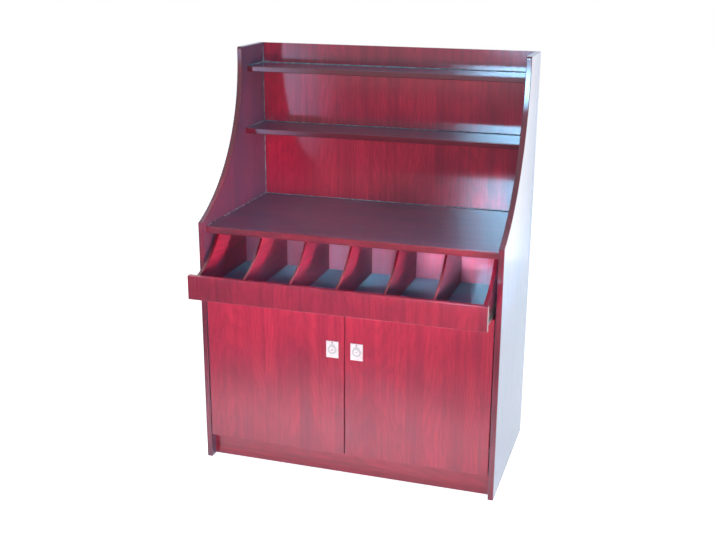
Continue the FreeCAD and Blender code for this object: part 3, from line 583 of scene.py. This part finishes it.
def make_beads():
    """Beads behind and beside each level, and up the back corners of each bay."""
    finish = bead_with_painted_highlight("bead_with_painted_highlight")
    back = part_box("back_panel")[0].y
    forward, up = (0, -1, 0), (0, 0, 1)
    counter, lower, upper = (
        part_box(node) for node in ("countertop", "lower_shelf", "upper_shelf"))
    left, right = counter[0].x, counter[1].x
    sides = (("left", left, (1, 0, 0)), ("right", right, (-1, 0, 0)))
    for name, (low, high) in (("counter", counter), ("lower", lower), ("upper", upper)):
        corner_bead(f"bead_{name}_back", (left, back, high.z), (right, back, high.z),
                    forward, up, finish)
        for side, x, inward in sides:
            corner_bead(f"bead_{name}_{side}", (x, low.y + BEAD_SETBACK, high.z),
                        (x, back, high.z), inward, up, finish)
    bays = ((counter[1].z, lower[0].z), (lower[1].z, upper[0].z),
            (upper[1].z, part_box("back_panel")[1].z))
    for number, (bottom, ceiling) in enumerate(bays):
        for side, x, inward in sides:
            corner_bead(f"bead_upright_{side}_{number}", (x, back, bottom),
                        (x, back, ceiling), inward, forward, finish)


# ---------------------------------------------------------------------------------------
# Floor, light and camera
# ---------------------------------------------------------------------------------------
def make_floor():
    """Floor that glows white, less near the object and, in gloss, less in front of it."""
    half = FLOOR_HALF
    mesh = bpy.data.meshes.new("floor")
    mesh.from_pydata([(-half, -half, 0), (half, -half, 0), (half, half, 0), (-half, half, 0)],
                     [], [(0, 1, 2, 3)])
    floor = bpy.data.objects.new("floor", mesh)
    bpy.context.scene.collection.objects.link(floor)
    material = bpy.data.materials.new("pale_floor")
    material.use_nodes = True
    nodes = Nodes(material.node_tree)
    place = nodes.place()
    reach = nodes.measure("LENGTH", place)
    depth = nodes.node("ShaderNodeSeparateXYZ", Vector=place).outputs["Y"]
    glow_seen = nodes.math("MULTIPLY", nodes.ramp(reach, *GLOW_SEEN), nodes.seen())
    glow_mirrored = nodes.math("MULTIPLY", nodes.ramp(depth, *GLOW_MIRRORED), nodes.mirrored())
    diffuse = nodes.node("ShaderNodeBsdfDiffuse", Color=FLOOR_COLOUR).outputs[0]
    glow = nodes.node("ShaderNodeEmission", Color=WHITE,
                      Strength=nodes.math("MAXIMUM", glow_seen, glow_mirrored)).outputs[0]
    both = nodes.filled("ShaderNodeAddShader", {}, (diffuse, glow)).outputs[0]
    nodes.deliver("ShaderNodeOutputMaterial", both)
    mesh.materials.append(material)


def make_world():
    """White behind the object and in its gloss; dimmer and cool as ambient light."""
    world = bpy.data.worlds.new("studio")
    bpy.context.scene.world = world
    world.use_nodes = True
    nodes = Nodes(world.node_tree)
    ambient = nodes.node("ShaderNodeBackground", Color=AMBIENT_COLOUR,
                         Strength=AMBIENT_STRENGTH).outputs[0]
    white = nodes.node("ShaderNodeBackground", Color=WHITE, Strength=1.0).outputs[0]
    share = nodes.math("MAXIMUM", nodes.seen(), nodes.mirrored())
    mixed = nodes.filled("ShaderNodeMixShader", {}, (share, ambient, white)).outputs[0]
    nodes.deliver("ShaderNodeOutputWorld", mixed)


def fade_edges(light):
    """Let a softbox fall off from its middle towards its edges."""
    light.use_nodes = True
    nodes = Nodes(light.node_tree)
    across = nodes.node("ShaderNodeTexCoord").outputs["UV"]
    from_middle = nodes.measure("DISTANCE", across, LAMP_MIDDLE)
    level = nodes.ramp(from_middle, *LAMP_FADE)
    nodes.deliver("ShaderNodeOutputLight",
                  nodes.node("ShaderNodeEmission", Strength=level).outputs[0])


def softbox(name, place, target, size, radiance, color=(1, 1, 1), in_diffuse=True,
            in_gloss=False, spread=None, faded=False):
    """Rectangular lamp that faces a target; radiance is what a mirror of it would show."""
    width, height = size
    light = bpy.data.lights.new(name, "AREA")
    light.shape = "RECTANGLE"
    light.size, light.size_y = width, height
    light.energy = radiance * math.pi * width * height
    light.color = color
    if spread:
        light.spread = math.radians(spread)
    if faded:
        fade_edges(light)
    lamp = bpy.data.objects.new(name, light)
    bpy.context.scene.collection.objects.link(lamp)
    lamp.location = place
    lamp.rotation_euler = (Vector(target) - Vector(place)).to_track_quat("-Z", "Y").to_euler()
    lamp.visible_camera = False
    lamp.visible_diffuse = in_diffuse
    lamp.visible_glossy = in_gloss


def make_lights():
    for name, settings in LAMPS.items():
        softbox(name, **settings)


def make_camera():
    data = bpy.data.cameras.new("camera")
    data.sensor_width = SENSOR_WIDTH
    data.lens = FOCAL_PIXELS / FRAME_WIDTH * SENSOR_WIDTH
    camera = bpy.data.objects.new("camera", data)
    bpy.context.scene.collection.objects.link(camera)
    yaw = Matrix.Rotation(CAMERA_YAW, 4, "Z")
    pitch = Matrix.Rotation(math.pi / 2 + CAMERA_PITCH, 4, "X")
    roll = Matrix.Rotation(CAMERA_ROLL, 4, "Z")
    camera.matrix_world = Matrix.Translation(CAMERA_PLACE) @ (yaw @ pitch @ roll)
    bpy.context.scene.camera = camera


dress(make_finishes())
make_beads()
make_floor()
make_world()
make_lights()
make_camera()
bpy.context.scene.view_settings.view_transform = "Standard"
